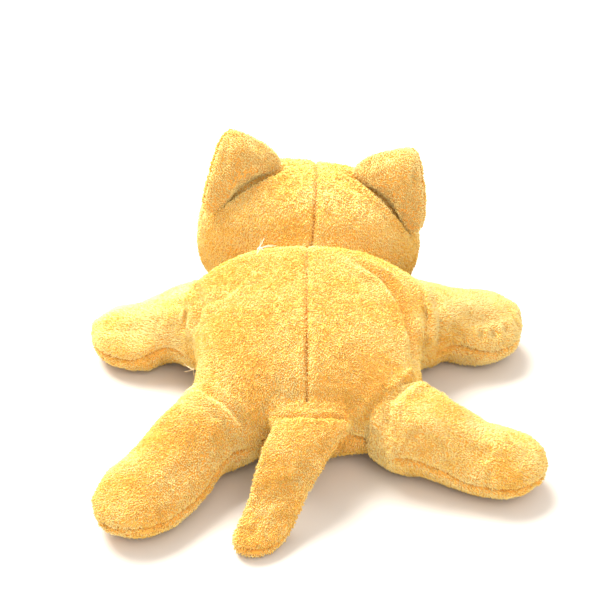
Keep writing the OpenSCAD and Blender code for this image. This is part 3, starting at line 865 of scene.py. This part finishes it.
# %% Torso
FOLDS = [
    ([(27, 38, 68), (43, 28, 61), (52, 10, 54), (56, -11, 47), (57, -32, 45)], 3.6, 3.0),
    ([(-34, 25, 65), (-44, 14, 61), (-56, 16, 52)], 1.5, 2.4),
    ([(-62, 42, 50), (-57, 18, 52), (-60, 3, 41)], 2.6, 2.8),
    ([(-71, 33, 44), (-66, 20, 43), (-67, 12, 35)], 1.6, 2.4),
    ([(64, 24, 46), (66, 15, 41), (62, 0, 33)], 2.4, 2.6),
    ([(69, 35, 45), (72, 22, 38), (71, 13, 25)], 2.0, 2.6),
    ([(-56, -41, 44), (-47, -53, 45), (-40, -59, 44), (-28, -65, 32)], 2.2, 2.4),
    ([(60, -31, 42), (49, -47, 47), (41, -54, 44), (39, -60, 40), (41, -68, 33)], 3.0, 2.4),
    ([(41, -47, 49), (34, -57, 42), (28, -61, 34)], 2.6, 2.2),
    ([(0, -23, 64), (1, -50, 53), (2, -66, 43)], 1.3, 1.8),
    ([(-17, -64, 40), (2, -67, 43), (22, -64, 38)], 1.8, 1.5),
    ([(-10, -42, 60), (-18, -58, 45)], 0.8, 2.4), ([(-20, 30, 68), (-28, 12, 68)], 0.7, 3.0),
]
torso_near = sculpt(torso, FOLDS)
dress(torso, torso_near, "torso_back_right_skin", {0}, "torso", ["torso_back_right", "torso_stuffing"])
dress(torso, torso_near, "torso_back_left_skin", {2}, "torso", ["torso_back_left"])
dress(torso, torso_near, "torso_belly_skin", {1}, "torso", ["torso_belly"], density=1.2)
sew(torso, "torso_seams", "torso")
print("torso done")

# %% [markdown]
# ## Dressing the head
# Its pile is brushed down from the crown. No pile grows under the eyes.

# %% Head
def eye_spot(side):
    return lean(head_upright(np.array([[0.84]]), np.array([[math.radians(62 * side)]])))[0, 0]


face_bare = [(eye_spot(s), 6.0) for s in (-1, 1)]
HEAD_FOLDS = [
    ([(-10, 108, 86), (-22, 98, 86), (-35, 91, 83), (-54, 84, 73)], 4.6, 2.4),
    ([(20, 108, 83), (30, 102, 81), (40, 94, 77), (50, 88, 69), (61, 87, 52)], 4.6, 2.4),
    ([(8, 110, 85), (8, 97, 85)], 0.9, 1.5), ([(13, 103, 85), (21, 94, 82), (31, 90, 79)], 1.0, 1.8),
    ([(-8, 102, 87), (-14, 90, 85)], 0.6, 1.8),
]
head_near = sculpt(head, HEAD_FOLDS)
for k, (panel, node, nap) in enumerate((
        ("head_back_right", ["head_back_right", "head_stuffing"], (0, -0.3, -0.8)),
        ("head_back_left", ["head_back_left"], (0, -0.3, -0.8)),
        ("head_face_right", ["head_face_right"], (0.1, 0.2, -0.8)),
        ("head_face_left", ["head_face_left"], (-0.1, 0.2, -0.8)))):
    dress(head, head_near, panel + "_skin", {k}, "head", node, nap=nap,
          bare=face_bare if k > 1 else ())
sew(head, "head_seams", "head")
print("head done")

# %% [markdown]
# ## Neck
# Fabric gathers where the torso meets the head, round the neck's wad. The collar is cut
# into a half on the torso's side and a half on the head's side.

# %% Neck
COLLAR_ROWS = 10


def collar(y0, y1, rows=COLLAR_ROWS, cols=80):
    y = np.linspace(y0, y1, rows)[:, None]
    wide = np.interp(y, [46, 55, 61, 66, 76], [46, 42, 40, 42, 46])
    top = np.interp(y, [46, 55, 61, 66, 76], [60, 55, 53, 56, 68])
    low = np.interp(y, [46, 55, 61, 66, 76], [10, 14, 16, 14, 9])
    x, z = ring(turns(cols), wide, (top + low) / 2, top, low)
    return grid(x, y, z)


neck = skin_from_rings("neck", np.concatenate([collar(46, 61), collar(61, 76)[1:]]),
                       lambda i, j: 0 if i < COLLAR_ROWS - 1 else 1, closed=False)
subdivide(neck)
neck_near = sculpt(neck, groove=0.0, lump=0.8) + 9
dress(neck, neck_near, "neck_gather_torso", {0}, ("torso", "neck", (0, 50, 37), (0, 60, 37)))
dress(neck, neck_near, "neck_gather_head", {1}, ("neck", "head", (0, 62, 37), (0, 72, 37)),
      ["neck_stuffing"])
print("neck done")

# %% [markdown]
# ## Dressing the ears
# An ear folds about its base seam. The backs get more of the palest tufts, which is
# painted light: they are paler to stand in for the light that falls on them.

# %% Ears
for word, (whole, place, up) in ears.items():
    ear_near = sculpt(whole, groove=1.0, lump=0.6)
    bend = ("head", "ear_" + word, tuple(place - up * 3), tuple(place + up * 6))
    nap = tuple(0.8 * up)
    # Painted light: the backs' tufts are shifted to the palest shade.
    dress(whole, ear_near, f"ear_{word}_back_skin", {0}, bend,
          [f"ear_{word}_back", f"ear_{word}_wadding"], nap=nap, shade=-1.7)
    dress(whole, ear_near, f"ear_{word}_front_skin", {1}, bend, [f"ear_{word}_front"], nap=nap)
print("ears done")

# %% [markdown]
# ## Arms and legs
# Each limb is cut into a sewn-on root, a top and an underside. Slack fabric folds where
# an arm leaves its shoulder.

# %% Arms and legs
PAW_FOLDS = [([(x, y, 12), (x + 1, y + 2, 31)], 1.7, 1.5)
             for x, y in ((95, 24), (102, 26), (109, 30), (116, 37))]
PAW_FOLDS += [([(88, -90, 13), (92, -84, 27)], 0.8, 1.8),
              ([(-72, -122, 10), (-70, -112, 22)], 0.8, 1.8)]
for name, (whole, stop) in limbs.items():
    joint = np.array(LIMBS[name]["joint"], float)
    a = math.radians(LIMBS[name]["heading"])
    out = np.array([math.cos(a), math.sin(a), 0])
    limb_near = sculpt(whole, FOLDS + PAW_FOLDS, lump=0.9, groove=1.3, between={0, 1})
    nap = tuple(0.8 * out + np.array([0, 0, -0.2]))
    edge = joint + out * stop
    root = ("torso", name + "_root", tuple(joint - out * 20), tuple(edge))
    bend = (name + "_root", name, tuple(edge), tuple(joint + out * 14))
    # Painted light: the arms' tops take paler tufts (shade -1.4) for the light that falls on them. The roots
    # and the legs' tops take a slightly paler shade (-1.2) than the torso.
    dress(whole, limb_near, f"{name}_gather", {2}, root, [name + "_root_stuffing"], nap=nap,
          shade=-1.2)
    dress(whole, limb_near, f"{name}_top_skin", {0}, bend, [name + "_top", name + "_stuffing"], nap=nap,
          shade=-1.4 if "arm" in name else -1.2)
    dress(whole, limb_near, f"{name}_underside_skin", {1}, bend, [name + "_underside"], nap=nap,
          density=1.4)
    sew(whole, f"{name}_seam", bend, {0, 1})
print("limbs done")

# %% [markdown]
# ## Tail
# It is flat, has a seam along both edges, and is sewn into the rump's seam.

# %% Tail
TIP_FOLDS = [([(-35, -113, 12), (-29, -119, 13)], 1.0, 1.5),
             ([(-23, -113, 14), (-27, -121, 12)], 0.9, 1.5)]
tail_near = sculpt(tail, FOLDS + TIP_FOLDS, lump=0.7, groove=1.2, between={0, 1})
nap = (-0.3, -0.8, -0.2)
root = ("torso", "tail_root", tuple(TAIL + [0, 10, 0]), tuple(TAIL + [0, 3, 0]))
bend = ("tail_root", "tail", tuple(TAIL + [0, 2, 0]), tuple(TAIL - [0, 10, 0]))
dress(tail, tail_near, "tail_gather", {2}, root, ["tail_root_stuffing"], nap=nap)
dress(tail, tail_near, "tail_top_skin", {0}, bend, ["tail_top", "tail_stuffing"], nap=nap)
dress(tail, tail_near, "tail_underside_skin", {1}, bend, ["tail_underside"], nap=nap, density=1.4)
sew(tail, "tail_seam", bend, {0, 1})
for whole in [torso, head, neck, tail, *(row[0] for row in [*limbs.values(), *ears.values()])]:
    bpy.data.objects.remove(whole)
print("tail done")

# %% [markdown]
# ## Loose threads
# A few ends of thread stick out where the left flank was sewn up, and a wisp of lint has
# caught at the back of the neck. Each strand is a fine curved tube.

# %% Loose threads
def strands(name, root, count, length, drift, hex_code, seed):
    rng = np.random.default_rng(seed)
    curve = bpy.data.curves.new(name, "CURVE")
    curve.dimensions, curve.bevel_depth, curve.bevel_resolution = "3D", 0.00014, 0
    for _ in range(count):
        way = np.array(drift, float) + rng.normal(0, 0.45, 3)
        curl = rng.normal(0, 0.35, 3)
        steps = [np.array(root) + rng.normal(0, 0.4, 3) * (1, 1, 0.3)]
        for _ in range(6):
            way = way / np.linalg.norm(way) + curl
            steps.append(steps[-1] + way * length / 8)
        line = curve.splines.new("POLY")
        line.points.add(len(steps) - 1)
        line.points.foreach_set("co", [c for p in steps for c in (*(p * MM), 1.0)])
    mat, _, shader = new_material(name + "_fibre")
    shader.inputs["Base Color"].default_value = colour(hex_code)
    shader.inputs["Roughness"].default_value = 0.8
    curve.materials.append(mat)
    source = link(name + "_curve", curve)
    mesh = bpy.data.meshes.new_from_object(source.evaluated_get(bpy.context.evaluated_depsgraph_get()))
    bpy.data.objects.remove(source)
    piece = link(name, mesh)
    fasten(piece, "torso")


strands("flank_thread_ends", (-60, -7, 27), 5, 5.0, (-0.8, -0.3, -0.4), "#f6dcae", 5)
strands("neck_lint", (-27, 54, 64), 14, 7.0, (0.9, 0.1, 0.3), "#fff6e6", 8)
print("loose threads done")

# %% [markdown]
# ## Eyes and embroidery
# The CAD model's own eyes, nose and mouth stay and get real finishes. The eyes are polished
# black plastic, so a coat gives them their small sharp highlights.

# %% Small parts
eye_mat, _, shader = new_material("polished_eye")
shader.inputs["Base Color"].default_value = colour("#0b0908")
shader.inputs["Roughness"].default_value = 0.08
shader.inputs["Coat Weight"].default_value = 0.6
thread_mat, _, shader = new_material("brown_thread")
shader.inputs["Base Color"].default_value = colour("#6f3f1c")
shader.inputs["Roughness"].default_value = 0.6
washer_mat, _, shader = new_material("washer_plastic")
shader.inputs["Base Color"].default_value = colour("#e6e6e0")
shader.inputs["Roughness"].default_value = 0.4
for node, mat in (("eye_left", eye_mat), ("eye_right", eye_mat),
                  ("nose_stitching", thread_mat), ("mouth_stitching", thread_mat),
                  ("eye_washer_left", washer_mat), ("eye_washer_right", washer_mat)):
    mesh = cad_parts[node].data
    mesh.materials.clear()
    mesh.materials.append(mat)
print("small parts finished")

# %% [markdown]
# ## Floor, light and camera
# A pale floor, a broad soft light from behind and the left, and a white surround.

# %% Stage
floor_mat, _, shader = new_material("pale_floor")
shader.inputs["Base Color"].default_value = colour("#dfdad3")
shader.inputs["Roughness"].default_value = 0.9
plane = bpy.data.meshes.new("floor")
plane.from_pydata([(-6, -6, 0), (6, -6, 0), (6, 6, 0), (-6, 6, 0)], [], [(0, 1, 2, 3)])
plane.materials.append(floor_mat)
floor = link("floor", plane)

world = bpy.data.worlds.new("surround")
world.use_nodes = True
world.node_tree.nodes["Background"].inputs["Color"].default_value = (1, 1, 1, 1)
world.node_tree.nodes["Background"].inputs["Strength"].default_value = 0.88
bpy.context.scene.world = world


def soft_light(name, place, size, watts, tint):
    lamp = bpy.data.lights.new(name, "AREA")
    lamp.shape, lamp.size, lamp.energy, lamp.color = "SQUARE", size, watts, colour(tint)[:3]
    obj = bpy.data.objects.new(name, lamp)
    bpy.context.scene.collection.objects.link(obj)
    obj.location = place
    obj.rotation_mode = "QUATERNION"
    obj.rotation_quaternion = (Vector((0, 0, 0.04)) - Vector(place)).to_track_quat("-Z", "Y")


soft_light("key", (-0.6, 0.8, 1.4), 1.2, 80, "#fffdf8")
soft_light("fill", (0.5, -1.2, 1.4), 1.2, 13, "#fff6ea")
bpy.context.scene.view_settings.view_transform = "Standard"

# %% Camera
AIM = Vector((-0.00366, 0, 0.0668))         # metres, a point inside the torso
camera = bpy.data.objects.new("camera", bpy.data.cameras.new("camera"))
bpy.context.scene.collection.objects.link(camera)
camera.data.sensor_width, camera.data.lens = 36, 98.3
camera.data.clip_start, camera.data.clip_end = 0.05, 20
camera.location = (0, -0.7052, 0.5541)
camera.rotation_mode = "QUATERNION"
camera.rotation_quaternion = (AIM - camera.location).to_track_quat("-Z", "Y")
bpy.context.scene.camera = camera
print("camera", [round(x, 3) for x in camera.location])

# %% [markdown]
# ## Last look
# The number of pieces, of all their triangles and of the largest piece's triangles.

# %% Sizes and finish
def triangles(name):
    return sum(len(p.vertices) - 2 for p in bpy.data.objects[name].data.polygons)


print("pieces", len(made), "triangles", sum(map(triangles, made)), "largest", max(map(triangles, made)))
